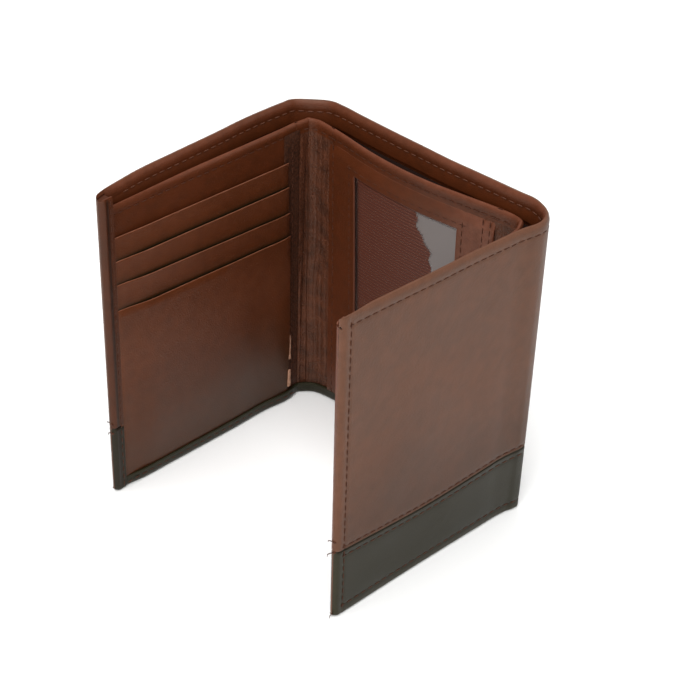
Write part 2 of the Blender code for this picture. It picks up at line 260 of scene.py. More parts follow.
outer_high = rail(
    [
        (13, -0.5), (18, -1.1), (28, -1.9), (45, -2.1), (57, -2.6), (68, -2.9), (76, -2.6), (84, -1.5),
        (88, -0.6),
    ],
    [(77.3, left, 9.8, 0.1), (82, centre, 4.9, 4.9), (86.5, centre, 9.9, 0.9)],
    [(13.7, 0.1), (29, -0.4), (47.5, -1.4), (56, -1.8), (68, -3.0), (83, -4.4)],
    [
        (162, centre, 88.4, -4.9), (165, centre, 93.9, -3.2), (167.5, right, -0.8, -1.8),
        (170, right, 1.85, -3.1), (173, right, 5.0, -3.3),
    ],
    [(9, -2.6), (19, -1.8), (34, -1.2), (49, -0.9), (63, -0.2), (76, 0)],
)
outer_low = rail(
    [(13, 0), (88, 0)],
    [(77.3, left, 9.8, 0.15), (82, centre, 4.7, 4.7), (86.5, centre, 9.8, 0.8)],
    [(13.7, 0), (83, 0)],
    [
        (162, centre, 87.0, 0.1), (165, centre, 92.2, 0.2), (167.5, centre, 95.4, 0.4),
        (170, right, 2.7, -0.5), (173, right, 5.5, 0.2),
    ],
    [(9, 0.5), (16, 0.6), (40, 0.9), (76, 0.7)],
)
inner_high = rail(
    [(13, 6.8), (18.6, 6.5), (32, 5.5), (51, 3.9), (66, 2.8), (82, 1.9), (88, 1.7)],
    [(77.3, left, 9.4, 7.4), (82, centre, 8.0, 8.6), (86.5, centre, 10.8, 7.5)],
    [(13, 7.4), (21, 7.9), (34, 9.0), (47, 8.8), (58, 7.5), (68, 5.3), (77.7, 3.1), (83, 2.0)],
    [
        (162, centre, 85.6, 1.7), (165, centre, 88.2, 2.0), (167.5, right, 3.0, 6.0),
        (170, right, 4.2, 5.3), (173, right, 6.4, 4.4),
    ],
    [(9, 4.1), (13, 4.0), (28.8, 4.8), (43, 5.1), (58, 4.8), (68, 3.8), (76, 2.3)],
)
inner_low = rail(
    [(13, 6.6), (16, 6.7), (18.5, 6.4), (25, 5.3), (38, 4.6), (55, 3.5), (71, 2.4), (82, 1.7), (88, 1.6)],
    [(77.3, left, 11.5, 7.6), (82, centre, 9.4, 9.5), (86.5, centre, 11.4, 7.8)],
    [(15, 6.6), (20, 5.9), (50, 5.8), (83, 6.0)],
    [
        (162, centre, 85.4, 6.2), (165, centre, 87.6, 6.9), (167.5, right, 7.6, 7.6),
        (170, right, 8.0, 6.9), (173, right, 9.2, 6.3),
    ],
    [(11, 5.8), (16, 5.0), (40, 4.2), (68, 3.3), (76, 2.3)],
)


def inward_at(reach):
    """The way into the stack of layers, level, at each reach."""
    through = inner_low(reach) + inner_high(reach) - outer_low(reach) - outer_high(reach)
    return through / np.linalg.norm(through, axis=-1, keepdims=True)


def on_rail(low, high, lean, reach, depth, height):
    reach, depth, height = np.broadcast_arrays(
        *(np.asarray(part, float) for part in (reach, depth, height))
    )
    share = (np.clip(height, 0, HEIGHT) / HEIGHT)[..., None] ** lean
    plan = low(reach) * (1 - share) + high(reach) * share + inward_at(reach) * depth[..., None]
    return np.concatenate([plan, height[..., None]], axis=-1)


def on_skin(reach, depth, height):
    """Points measured inward from the outer face."""
    return on_rail(outer_low, outer_high, OUTER_LEAN, reach, depth, height)


def on_wall(reach, depth, height):
    """Points measured inward from the face of the inner wall."""
    return on_rail(inner_low, inner_high, WALL_LEAN, reach, depth, height)


def eased(value):
    value = np.clip(value, 0, 1)
    return value * value * (3 - 2 * value)


def bell(value, middle, width):
    """1 at the middle, falling smoothly to 0 on both sides of it."""
    return np.exp(-(((value - middle) / width) ** 2))


def from_edge(reach):
    """How far a reach is from the nearer free edge."""
    return np.minimum(reach - FIRST_REACH, LAST_REACH - reach)


# Outer leather ----------------------------------------------------------------------------------
# One wrap of smooth calfskin, about 1 mm thick, brown above and olive black along the foot. Its
# top is turned in as a hem, its foot turns up over the inner wall, and its ends are turned over
# both free edges. The halves meet behind the centre leaf, and each bends round its own fold.

SEAM_HEIGHT = 24.3
TOP_ROW, FOOT_ROW, ROW_ABOVE, ROW_BELOW, EDGE_ROW = 102.4, 3.4, 1.2, 2.1, 3.0
ROWS = (TOP_ROW, SEAM_HEIGHT + ROW_ABOVE, SEAM_HEIGHT - ROW_BELOW, FOOT_ROW)
LIP_TOP = 3.8
HEM_WIDTH, HEM_DROP, HIDDEN_HEM_DROP = 4.2, 0.5, 3.2
EDGE_ROUND = 1.7
LIP_OUT, LIP_OVER_POCKETS, LIP_OVER_HEM = 0.8, 0.95, 0.45
STITCH_FURROW, EDGE_FURROW, FURROW_WIDTH = 0.2, 0.16, 0.45
SEAM_FURROW, SEAM_WIDTH = 0.5, 0.22
FLOOR = 1.2


def leather(name, colour, dark, wear_and_shading_tone, grain, depth, roughness, mottle=0.28, pulls=0.35, painted_shading="#1a0d07"):
    """Dyed and finished leather: clouded dye, a pebbled grain with pores, edges painted pale as rubbed wear
    and painted highlight, and painted shade where the mask is below 0.
    """
    material, tree, shader = new_material(name)
    place = add(tree, "ShaderNodeTexCoord").outputs["Object"]
    cloud = clouds(tree, place, 28, 5.0, Roughness=0.55)
    fleck = clouds(tree, place, 3.5, 3.0)
    both = calc(tree, "ADD", cloud.outputs["Fac"], fleck.outputs["Fac"])
    dye = add(
        tree, "ShaderNodeMapRange",
        {"Value": both, "From Min": 0.78, "From Max": 1.22, "To Min": 0.5 - mottle, "To Max": 0.5 + mottle},
    )
    dyed = mixed(tree, dye.outputs[0], dark, colour)
    wear_and_shading_mask = add(tree, "ShaderNodeAttribute", attribute_name="wear_and_shading")
    patchy = clouds(tree, place, 2.5, 4.0)
    wear_and_shading = calc(tree, "MULTIPLY", wear_and_shading_mask.outputs["Fac"], patchy.outputs["Fac"])
    pale = mixed(tree, wear_and_shading, dyed, wear_and_shading_tone)
    # Painted shade: where the mask is below 0 the colour is darkened towards the dark shade colour, in
    # creases, grooves and under pocket mouths.
    painted_shade_share = calc(tree, "MULTIPLY", wear_and_shading_mask.outputs["Fac"], -1.0)
    shaded = mixed(tree, painted_shade_share, pale, painted_shading)
    tree.links.new(shaded, shader.inputs["Base Color"])

    warp = clouds(tree, place, 4, 2.0)
    bent = add(
        tree, "ShaderNodeMix", {"Factor": 0.0006 / 0.4, 4: place, 5: warp.outputs["Color"]},
        data_type="VECTOR",
    )
    pebbles = add(
        tree, "ShaderNodeTexVoronoi", {"Vector": bent.outputs[1], "Scale": 1000 / grain},
        feature="DISTANCE_TO_EDGE",
    )
    domes = add(tree, "ShaderNodeMapRange", {"Value": pebbles.outputs["Distance"], "From Max": 0.35})
    pores = clouds(tree, place, grain * 0.6, 2.0)
    domes_over_pores = {0: pores.outputs["Fac"], 1: 0.6, 2: domes.outputs[0]}
    height = add(tree, "ShaderNodeMath", domes_over_pores, operation="MULTIPLY_ADD")
    bump = {"Strength": 1.0, "Distance": depth * MM, "Height": height.outputs[0]}
    relief = add(tree, "ShaderNodeBump", bump)
    pulled = clouds(tree, place, 11, 2.0, Distortion=0.6)
    ripple = add(
        tree,
        "ShaderNodeBump",
        {
            "Strength": 1.0, "Distance": 0.35 * pulls * MM, "Height": pulled.outputs["Fac"],
            "Normal": relief.outputs[0],
        },
    )
    tree.links.new(ripple.outputs[0], shader.inputs["Normal"])
    gloss = add(
        tree,
        "ShaderNodeMapRange",
        {
            "Value": cloud.outputs["Fac"], "From Min": 0.3, "From Max": 0.7, "To Min": roughness - 0.05,
            "To Max": roughness + 0.08,
        },
    )
    tree.links.new(gloss.outputs[0], shader.inputs["Roughness"])
    shader.inputs["IOR"].default_value = 1.34
    shader.inputs["Specular Tint"].default_value = linear("#fff4e4")
    return material


# Full-grain calf with a waxed finish: a warm brown that clouds slightly and shines softly.
waxed_brown_calf = leather("waxed_brown_calf", "#5e3a28", "#4c2f20", "#6e4634", 0.8, 0.035, 0.42)
# The same calf dyed olive black, a little glossier.
olive_black_calf = leather("olive_black_calf", "#1d1b0e", "#151408", "#33301c", 0.8, 0.035, 0.40)
# The turned hem and the wall inside, in a redder brown.
red_brown_calf = leather("red_brown_calf", "#54260f", "#44200e", "#7c4a38", 0.8, 0.03, 0.40)


SHARP_ANGLE = math.radians(42.0)


def piece_from(name, points, faces, materials, picked=None, wear_and_shading=None):
    """A finished piece from points in millimetres, its faces turned outward."""
    mesh = bpy.data.meshes.new(name)
    mesh.from_pydata([tuple(point * MM) for point in np.asarray(points)], [], faces)
    for material in materials:
        mesh.materials.append(material)
    if picked is not None:
        mesh.polygons.foreach_set("material_index", picked)
    if wear_and_shading is not None:
        mesh.attributes.new("wear_and_shading", "FLOAT", "POINT").data.foreach_set(
            "value", np.asarray(wear_and_shading, np.float32)
        )
    shape = bmesh.new()
    shape.from_mesh(mesh)
    bmesh.ops.remove_doubles(shape, verts=shape.verts, dist=1e-7)
    bmesh.ops.recalc_face_normals(shape, faces=shape.faces)
    shape.to_mesh(mesh)
    shape.free()
    mesh.polygons.foreach_set("use_smooth", [True] * len(mesh.polygons))
    mesh.set_sharp_from_angle(angle=SHARP_ANGLE)
    piece = bpy.data.objects.new(name, mesh)
    bpy.context.scene.collection.objects.link(piece)
    return piece


def loft(name, sections, materials, pick=None, wear_and_shading=None):
    """Closed sections joined one to the next, with both ends capped."""
    sections = np.array(sections)
    count, around = sections.shape[:2]
    points = sections.reshape(-1, 3)
    faces = []
    for row in range(count - 1):
        for column in range(around):
            after = (column + 1) % around
            start, ahead = row * around, (row + 1) * around
            faces.append((start + column, start + after, ahead + after, ahead + column))
    faces.append(tuple(range(around)))
    faces.append(tuple(range((count - 1) * around, count * around)))
    picked = None
    if pick:
        columns = [index % around for index in range(len(faces) - 2)] + [0, 0]
        picked = [pick(points[list(face)].mean(axis=0), column) for face, column in zip(faces, columns)]
    wear_and_shading_tone = None if wear_and_shading is None else np.array(wear_and_shading).reshape(-1)
    return piece_from(name, points, faces, materials, picked, wear_and_shading_tone)


seam_rise = smooth_line(
    (MID_CENTRE, 0), (RIGHT_START + 5, -0.3), (RIGHT_START + 38, -1.7), (LAST_REACH, 0.4)
)


def seam_shift(reach, height):
    """The band's seam isn't quite level: it climbs to the right leaf's free edge."""
    rise = seam_rise(reach)[..., 0] if reach > MID_CENTRE else 0.0
    return height + rise * bell(height, SEAM_HEIGHT, 13.0)


outer_rows = np.array(
    [
        1.0, 1.6, 2.4, 2.9, FOOT_ROW, 3.9, 4.6, 7, 11, 15, 19, 21, 21.7, 22.2, 22.7, 23.5, 23.9, 24.12,
        SEAM_HEIGHT,
    ]
    + [
        24.48, 24.7, 25.0, 25.25, 25.5, 25.8, 26.2, 27.5, 30, 35, 41, 48, 55, 62, 69, 76, 83, 89, 94, 98,
        100.5,
    ]
    + [101.4, 101.9, TOP_ROW, 102.9, 103.4, 104.4]
)
lip_rows = np.array(
    [
        104.4, 101.5, 96, 85, 72, 60, 48, 38, 30, 27, 25.4, 24.7, 24.45, SEAM_HEIGHT, 24.15, 23.9, 23, 20,
        14, 8, 4, 2.6, 1.9, 1.4,
    ]
)


def lip_depth(reach):
    """How far the turned-up lip stands over the wall: further where it covers the pockets."""
    on_pockets = float(eased((74 - reach) / 6))
    hem = float(eased((HEM_WIDTH - from_edge(reach)) / 0.3))
    over_pockets = on_pockets * float(eased((reach - FIRST_REACH - 2) / 10))
    return LIP_OUT + max(LIP_OVER_POCKETS * over_pockets, LIP_OVER_HEM * hem)


def skin_section(reach):
    """Up the outer face, over the turned hem, down inside, along the floor and round the lip."""
    edge = from_edge(reach)
    share = np.clip((EDGE_ROUND - edge) / EDGE_ROUND, 0, 1)
    hem = float(eased((HEM_WIDTH - edge) / 0.3))
    lip = lip_depth(reach)
    through = (np.linalg.norm(inner_high(reach) - outer_high(reach)) + lip) / 2
    pull = (through - 0.05) * (1 - math.sqrt(1 - share * share))
    hem_top = HEIGHT - (HEM_DROP if reach < MID_CENTRE else HIDDEN_HEM_DROP)
    lip_top = LIP_TOP + hem * (hem_top - LIP_TOP)
    floor = FLOOR + hem * (hem_top - 0.9 - FLOOR)
    furrow = sum(STITCH_FURROW * bell(outer_rows, row, FURROW_WIDTH) for row in ROWS)
    furrow = furrow * float(eased((edge - 2) / 1.5))
    furrow = furrow + SEAM_FURROW * bell(outer_rows, SEAM_HEIGHT, SEAM_WIDTH)
    furrow = furrow + EDGE_FURROW * bell(edge, EDGE_ROW, FURROW_WIDTH)
    roll = max(1.0 + 1.0 * float(eased((edge - 3) / 9)), pull + 0.02)
    top = HEIGHT - 0.5 * pull
    outer = on_skin(reach, pull + furrow, seam_shift(reach, outer_rows))
    rounded = on_skin(
        reach, pull + (roll - pull) * np.array([0.1, 0.3, 0.62, 0.88]),
        top - np.array([0.75, 0.12, 0.1, 0.7]),
    )
    inside_depth = np.array([1.0, 1.0, 0.92, 1.0, 1.0, 0.8, 0.52, 0.52, 0.52, 0.52, 0.52]) * roll
    inside_depth[5:] = np.minimum(inside_depth[5:], 1.0)
    inside_height = np.array([104.2, 102.9, TOP_ROW, 101.9, 98.2, 97.7, 97.4, 70, 40, 10, 1.5])
    steps = np.arange(len(inside_height))[::-1] * 0.04
    inside = on_skin(reach, np.maximum(inside_depth, pull), np.maximum(inside_height, floor + 0.05 + steps))
    behind = lip - (pull + 0.1 if pull > 0.9 else 0.95)
    back_heights = np.array([floor, max(lip_top - 0.5, floor + 0.04)])
    back = on_wall(reach, np.array([behind, behind]), back_heights)
    floor_point = on_skin(reach, max(0.62, pull), floor)[None, :]
    lip_head = on_wall(
        reach, np.minimum(
            np.array([lip - 0.7, lip - 0.2]), lip - pull
        ), np.array([lip_top - 0.05, lip_top]) - 0.4 * pull
    )
    heights = np.minimum(lip_rows, lip_top - 0.45 - 0.02 * np.arange(len(lip_rows)))
    groove = (0.14 * bell(edge, EDGE_ROW, FURROW_WIDTH) + 0.3 * bell(edge, 2.0, 0.35)) * hem
    face = lip - pull - groove - 0.35 * hem * bell(heights, SEAM_HEIGHT, SEAM_WIDTH)
    front = on_wall(reach, face, heights)
    foot = np.vstack(
        [
            on_wall(
                reach, np.array([lip - pull - 0.12, lip - pull - 0.45]), np.array([0.75, 0.25]) + 0.4 * pull
            ),
            on_skin(reach, np.array([pull + 0.5, pull + 0.12]), np.array([0.2, 0.55]) + 0.4 * pull),
        ]
    )
    # Pale marks on the foot, the seam, the top roll, the lip and the free edges are partly rubbed wear and
    # partly painted highlight on the rolled edges; values below 0 are painted shade.
    wear_and_shading_tone = np.concatenate(
        [
            0.55 * bell(outer_rows, 1.0, 1.2) + 0.5 * bell(outer_rows, SEAM_HEIGHT, 0.5),
            np.full(4, 0.55 if reach > MID_CENTRE else 0.4),
            np.array([0.3, 0.1, 0, 0, 0, 0, 0, 0, 0, 0, 0]), np.full(3, 0.0), np.full(2, 0.4),
            0.05 + 0.4 * bell(lip_top, heights, 0.8), np.full(4, 0.6),
        ]
    )
    # The right free edge is painted paler than the left.
    wear_and_shading_tone = np.maximum(wear_and_shading_tone, (0.9 if reach > MID_CENTRE else 0.1) * math.exp(-edge / 1.3))
    # Painted shade: the brown outside is darkened more the lower it is, down to the band.
    wear_and_shading_tone[: len(outer_rows)] -= 0.4 * (1 - eased((outer_rows - 24) / 34)) * (outer_rows > SEAM_HEIGHT)
    # A soft darker patch is painted on the outside of the right leaf.
    cloud = ((reach - LAST_REACH + 24) / 13) ** 2 + ((outer_rows - 50) / 15) ** 2
    wear_and_shading_tone[: len(outer_rows)] -= 0.16 * np.exp(-cloud)
    # The hem and inside of the left free edge are painted darker.
    if reach < LEFT_END / 2:
        wear_and_shading_tone[len(outer_rows) : -4] -= 0.4 * hem
    # Painted shade in the groove 2 mm in from each free edge.
    edge_groove_shade = bell(edge, 2.0, 0.4)
    wear_and_shading_tone[-4 - len(lip_rows) : -4] -= 0.7 * hem * edge_groove_shade
    # Painted shadow just below the band's seam, under its overlapping edge.
    wear_and_shading_tone[: len(outer_rows)] -= 0.5 * bell(outer_rows, SEAM_HEIGHT - 0.3, 0.5)
    return np.vstack([outer, rounded, inside, floor_point, back, lip_head, front, foot]), wear_and_shading_tone


def leather_at(point, column):
    """Olive black below the seam; above it brown outside and a redder brown inside."""
    nearest = 0.0
    if point[0] > right.corner[0] - 12 and point[1] < back - 12:
        nearest = float(seam_rise(RIGHT_START + back - point[1])[0])
    if point[2] < SEAM_HEIGHT + nearest:
        return 1
    return 2 if len(outer_rows) + 2 <= column < len(outer_rows) + 20 + len(lip_rows) else 0


edge_steps = np.array(
    [
        0, 0.04, 0.14, 0.3, 0.5, 0.75, 0.95, 1.05, 1.15, 1.3, 1.7, 2.2, 2.6, 3.0, 3.4, 3.9, 4.2, 4.3, 4.4,
        4.5, 5.2, 6.5,
    ]
)
left_leaf_steps, left_fold_steps = np.arange(7.0, 70, 2.4), np.arange(70.5, 94, 0.6)
left_reaches = np.concatenate(
    [
        FIRST_REACH + edge_steps, left_leaf_steps, left_fold_steps, np.arange(95, MID_CENTRE, 2.4),
        [MID_CENTRE],
    ]
)
right_fold_steps, right_leaf_steps = np.arange(156.5, 180, 0.5), np.arange(181, LAST_REACH - 7, 2.4)
right_reaches = np.concatenate(
    [
        [MID_CENTRE], np.arange(MID_CENTRE + 2.2, 155, 2.4), right_fold_steps, right_leaf_steps,
        (LAST_REACH - edge_steps)[::-1],
    ]
)


def outer_half(name, reaches, nodes):
    sections, wear_and_shading_tone = zip(*(skin_section(float(reach)) for reach in reaches))
    half = loft(name, sections, [waxed_brown_calf, olive_black_calf, red_brown_calf], leather_at, wear_and_shading_tone)
    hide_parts(*nodes)
    return half


def bend_round(piece, side):
    """Bake a piece's placing into its mesh; the foot of its fold is found, but the piece is not bent."""
    leaf, run, centre_run = (
        (left, LEFT_FOLD, LEFT_FOLD) if side == "left" else (right, RIGHT_FOLD, CENTRE_WIDTH - RIGHT_FOLD)
    )
    start = (*(leaf.place(run, 0) * MM), 0.0)
    end = (*(centre.place(centre_run, 0) * MM), 0.0)
    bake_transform(piece)


outer_left = outer_half(
    "outer_leather_left", left_reaches,
    ["left_shell", "left_band", "left_fold_shell", "left_fold_band", "centre_shell", "centre_band"],
)
bend_round(outer_left, "left")
outer_right = outer_half(
    "outer_leather_right", right_reaches,
    ["right_shell", "right_band", "right_fold_shell", "right_fold_band"],
)
bend_round(outer_right, "right")

# Stiffeners -------------------------------------------------------------------------------------
# A sheet of thin grey-brown card glued behind the leather of each leaf keeps it flat. It is
# covered by the lining, and stops short of both folds so that they stay soft.

# Pressed paper board: dull and slightly fibrous.
paper_board, tree, shader = new_material("pressed_paper_board", 0.9)
place = add(tree, "ShaderNodeTexCoord").outputs["Object"]
fibre = clouds(tree, place, 1.5, 4.0)
board = mixed(tree, fibre.outputs["Fac"], "#8a7a62", "#a09078")
tree.links.new(board, shader.inputs["Base Color"])
raised(tree, shader, 0.05, fibre.outputs["Fac"])


def spread(start, end, step):
    """Even places from start to end, with one close inside each end for a rounded rim."""
    inside = np.linspace(start, end, max(2, int(round(abs(end - start) / step)) + 1))
    rim = 0.15 * np.sign(end - start)
    return np.concatenate([[start, start + rim], inside[1:-1], [end - rim, end]])


def sheet(name, where, reaches, levels, near, far, material, heights=None, hole=None, wear_and_shading=0.0, shade=None):
    """A thin sheet with rounded rims, laid over a rail between two depths.

    levels is its lowest and highest height and the step between rows, or the rows themselves, and
    heights may shift those rows at each reach. near and far are depths, or turn a reach and its
    rows into depths. hole says which cells are cut away. The rims are painted pale, as rubbed wear
    and painted highlight, and shade says how much paler (above 0) or darker (below 0) the front is
    painted, as painted light and shade.
    """
    levels = spread(*levels) if isinstance(levels, tuple) else levels

    rows = np.array([heights(reach, levels) if heights else levels for reach in reaches])

    def depths(side):
        found = [side(reach, row) if callable(side) else side for reach, row in zip(reaches, rows)]
        return np.array([np.broadcast_to(depth, levels.shape) for depth in found])

    fronts, backs = depths(far), depths(near)
    wide, tall = rows.shape
    kept = np.array([[not (hole and hole(i, j)) for j in range(tall - 1)] for i in range(wide - 1)])
    around = np.zeros((wide + 1, tall + 1), bool)
    around[1:-1, 1:-1] = kept
    rim = ~(around[:-1, :-1] & around[1:, :-1] & around[:-1, 1:] & around[1:, 1:])
    thick = fronts - backs
    fronts = fronts - rim * np.minimum(0.3 * thick, 0.15)
    backs = backs + rim * np.minimum(0.3 * thick, 0.15)
    grid = np.broadcast_to(np.asarray(reaches)[:, None], rows.shape)
    points = np.concatenate(
        [where(grid, fronts, rows).reshape(-1, 3), where(grid, backs, rows).reshape(-1, 3)]
    )
    total = wide * tall
    faces = []
    for i in range(wide - 1):
        for j in range(tall - 1):
            if not kept[i, j]:
                continue
            a, b, c, d = i * tall + j, (i + 1) * tall + j, (i + 1) * tall + j + 1, i * tall + j + 1
            faces += [(a, b, c, d), (a + total, d + total, c + total, b + total)]
            if not around[i + 1, j]:
                faces.append((a, a + total, b + total, b))
            if not around[i + 1, j + 2]:
                faces.append((c, c + total, d + total, d))
            if not around[i, j + 1]:
                faces.append((d, d + total, a + total, a))
            if not around[i + 2, j + 1]:
                faces.append((b, b + total, c + total, c))
    wear_and_shading_tone = np.tile(rim.reshape(-1) * wear_and_shading, 2)
    # Painted light and shade on the front, away from the rims.
    if shade:
        painted_shading = np.array([shade(reach, row) for reach, row in zip(reaches, rows)])
        wear_and_shading_tone[:total] += (painted_shading * ~rim).reshape(-1)
    used = sorted({index for face in faces for index in face})
    renumber = {old: new for new, old in enumerate(used)}
    faces = [tuple(renumber[index] for index in face) for face in faces]
    return piece_from(name, points[used], faces, [material], None, wear_and_shading_tone[used])


for name, body, start, end in (
    ("stiffener_left", "left_leaf", FIRST_REACH + 6, 70.0),
    ("stiffener_centre", "centre_leaf", 95.0, 158.0),
    ("stiffener_right", "right_leaf", 180.0, LAST_REACH - 6),
):
    card = sheet(name, on_skin, spread(start, end, 3), (2, 96.5, 6), 1.08, 1.38, paper_board)
    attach(card, body)
    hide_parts(name.split("_")[1] + "_stiffener")

# Note compartment linings -----------------------------------------------------------------------
# The long compartment behind the inner wall is lined on both sides with dark brown woven taffeta,
# glued to the card and to the back of the wall, and caught under the turned hems.

# Dark brown polyester taffeta, plain weave: thread spacing drawn at 0.5 mm so that it shows.
brown_taffeta, tree, shader = new_material("brown_taffeta", 0.75, 0.15)
place = add(tree, "ShaderNodeTexCoord").outputs["Object"]
warp_ends = bands(tree, place, 0.5, "Z", {"Distortion": 0.3})
weft = bands(tree, place, 0.5, "DIAGONAL", {"Distortion": 0.3})
weave = calc(tree, "ADD", warp_ends, weft)
tint = mixed(tree, weave, "#1f120d", "#33201a")
tree.links.new(tint, shader.inputs["Base Color"])
raised(tree, shader, 0.06, weave)

left_lining_reaches = np.concatenate(
    [
        spread(FIRST_REACH + 5.5, 70, 2.5), np.arange(71, 94, 0.8), np.arange(95, MID_CENTRE, 2.5),
        [MID_CENTRE],
    ]
)
right_lining_reaches = np.concatenate(
    [
        [MID_CENTRE], np.arange(MID_CENTRE + 2, 155, 2.5), np.arange(156, 180, 0.6),
        spread(181, LAST_REACH - 5.5, 2.5),
    ]
)
for side, reaches in (("left", left_lining_reaches), ("right", right_lining_reaches)):
    lining = sheet(f"bill_lining_{side}", on_skin, reaches, (2, 96.8, 5), 1.42, 1.62, brown_taffeta)
    bend_round(lining, side)
    nodes = [f"{side}_bill_lining", f"{side}_fold_lining"] + (
        ["centre_bill_lining"] if side == "left" else []
    )
    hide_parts(*nodes)

for name, body, start, end in (
    ("divider_lining_left", "left_leaf", FIRST_REACH + 4.6, 73.3),
    ("divider_lining_centre", "centre_leaf", 93.0, 157.0),
    ("divider_lining_right", "right_leaf", 175.0, LAST_REACH - 4.6),
):
    reaches = spread(start, end, 2.5)
    lining = sheet(name, on_wall, reaches, (2, 94.6, 5), -0.72, -0.55, brown_taffeta)
    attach(lining, body)
    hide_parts(name.split("_")[2] + "_divider_lining")

# Inner wall and gathers -------------------------------------------------------------------------
# The wall inside the compartment is smooth calf on each leaf, its top edge turned over and
# stitched. At each fold it is a strip of soft grained leather, gathered into upright wrinkles.

WALL_TOP, WALL_ROW, TURNED_FROM = 101.5, 98.4, 97.6
GATHER_LIFT = 0.12

# Soft pebbled lambskin for the gathers, with painted shade in its folds from the walls' rows.
grained_lambskin = leather(
    "grained_lambskin", "#5a3220", "#3e2216", "#764838", 1.1, 0.12, 0.45, mottle=0.45, pulls=0.8
)

wall_rows = np.concatenate(
    [[1.4, 2.2], np.arange(5, 94, 4.0), [95.5, 97.4, 97.9, WALL_ROW, 98.9, 99.4, 100.3]]
)


def wall_section(reach, ripple, lifted):
    """Up the face, over the turned top and down the back."""
    hem = 0.6 + 0.9 * float(eased((from_edge(reach) - 10) / 30))
    waves = ripple(reach, wall_rows) + lifted
    face = waves - 0.16 * bell(wall_rows, WALL_ROW, 0.45)
    sunk = np.clip(0.12 - waves, 0, 1.2)
    top_wave = float(ripple(reach, np.array([WALL_TOP]))[0]) + lifted
    over = on_wall(
        reach, top_wave - hem * np.array(
            [0.08, 0.35, 0.68, 0.94, 1.0]
        ), WALL_TOP - np.array([0.5, 0.05, 0.05, 0.5, 1.2])
    )
    behind = on_wall(
        reach, np.array(
            [-hem, -hem, -0.54, -0.54, -0.54, -0.54]
        ) + top_wave * np.array([1, 0.9, 0.8, 0.6, 0.6, 0.6]), np.array([98, 95.2, 94.8, 60, 30, 1.4])
    )
    # Painted shade where the face sinks into wrinkles and the valley; the turned top is painted pale, as
    # rubbed wear and painted highlight.
    wear_and_shading_tone = np.concatenate([-0.75 * sunk[:-1], [0.2], [0.4, 0.6, 0.6, 0.4, 0.2], np.zeros(6)])
    return np.vstack([on_wall(reach, face, wall_rows), over, behind]), wear_and_shading_tone


def flat_wall(reach, heights):
    return np.zeros_like(heights)


def gathered(first, last, pitch, height, valley=None):
    """Upright wrinkles that fade towards both sewn sides, wander, and may sink into a deep valley."""

    def ripple(reach, heights):
        fade = float(eased((reach - first) / 3) * eased((last - reach) / 3))
        wander = 0.9 * np.sin(heights / 17.0) + 0.5 * np.sin(heights / 6.1 + 1.3)
        wave = np.sin(2 * math.pi * (reach + wander) / pitch) + 0.5 * np.sin(
            2 * math.pi * (reach + 0.6 * wander) / (pitch * 0.57) + 1
        )
        waves = fade * height * wave * (1 - 0.8 * eased((heights - 94) / 5)) * (
            0.45 + 0.55 * np.sin(heights / 23.0 + reach / 4) ** 2
        )
        if valley:
            waves = waves - 1.4 * bell(reach, valley, 2.0) * (1 - eased((heights - 91) / 6))
        return waves

    return ripple


def turned_over(point, column):
    """The turned top of every wall is red brown calf."""
    return 1 if point[2] > TURNED_FROM else 0


for name, body, reaches, material, ripple, node, slot in (
    (
        "inner_wall_left", "left_leaf", spread(FIRST_REACH + 2.0, 73.6, 2.5), red_brown_calf, flat_wall,
        "left_inner_wall", "inner_leather",
    ),
    (
        "gather_left", "left", spread(72.6, 93.5, 0.3), grained_lambskin,
        gathered(72.6, 93.5, 2.1, 0.11, valley=79.0), "left_fold_gather", "grained_leather",
    ),
    (
        "inner_wall_centre", "centre_leaf", spread(92.3, 157.5, 2.5), red_brown_calf, flat_wall,
        "centre_inner_wall", "inner_leather",
    ),
    (
        "gather_right", "right", spread(156.0, 177.0, 0.3), grained_lambskin,
        gathered(156.0, 177.0, 2.3, 0.07), "right_fold_gather", "grained_leather",
    ),
    (
        "inner_wall_right", "right_leaf", spread(176.0, LAST_REACH - 2.0, 2.5), red_brown_calf, flat_wall,
        "right_inner_wall", "inner_leather",
    ),
):
    lifted = GATHER_LIFT if "gather" in name else 0.0
    sections, wear_and_shading_tone = zip(*(wall_section(float(reach), ripple, lifted) for reach in reaches))
    wall = loft(name, sections, [material, red_brown_calf], turned_over, wear_and_shading_tone)
    if body in ("left", "right"):
        bend_round(wall, body)
    else:
        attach(wall, body)
    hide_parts(node)

# Left card pockets ------------------------------------------------------------------------------
# Three stepped card slots and a tall front pocket are cut from the same calf, each sheet's mouth
# pared thin and burnished, its rim painted pale as burnish and as painted highlight. They sit on a
# backing sheet, and a strip of dark stippled fabric lines the slip pocket behind the block, beside
# the gather.

# Pocket calf, paler and redder than the wall, with a soft shine.
# Its last colour is the dark colour of the painted shade.
pocket_calf = leather("pocket_calf", "#562a13", "#47220f", "#96604a", 0.8, 0.03, 0.38, painted_shading="#1c170a")
# The stippled slip lining: a dark embossed fabric with 0.9 mm dots.
stippled_fabric, tree, shader = new_material("stippled_lining_fabric", 0.6, 0.2)
place = add(tree, "ShaderNodeTexCoord").outputs["Object"]
dots = add(tree, "ShaderNodeTexVoronoi", {"Vector": place, "Scale": 1000 / 0.9, "Randomness": 0.6})
speck = mixed(tree, dots.outputs["Distance"], "#4c2a1a", "#22120a")
tree.links.new(speck, shader.inputs["Base Color"])
raised(tree, shader, 0.12, dots.outputs["Distance"], invert=True)
# Undyed cut edge of vegetable-tanned leather: pale peach and fibrous.
raw_edge, tree, shader = new_material("undyed_cut_edge", 0.8)
place = add(tree, "ShaderNodeTexCoord").outputs["Object"]
fibres = clouds(tree, place, 0.7, 3.0)
peach = mixed(tree, fibres.outputs["Fac"], "#7a4e3a", "#c4987c")
tree.links.new(peach, shader.inputs["Base Color"])

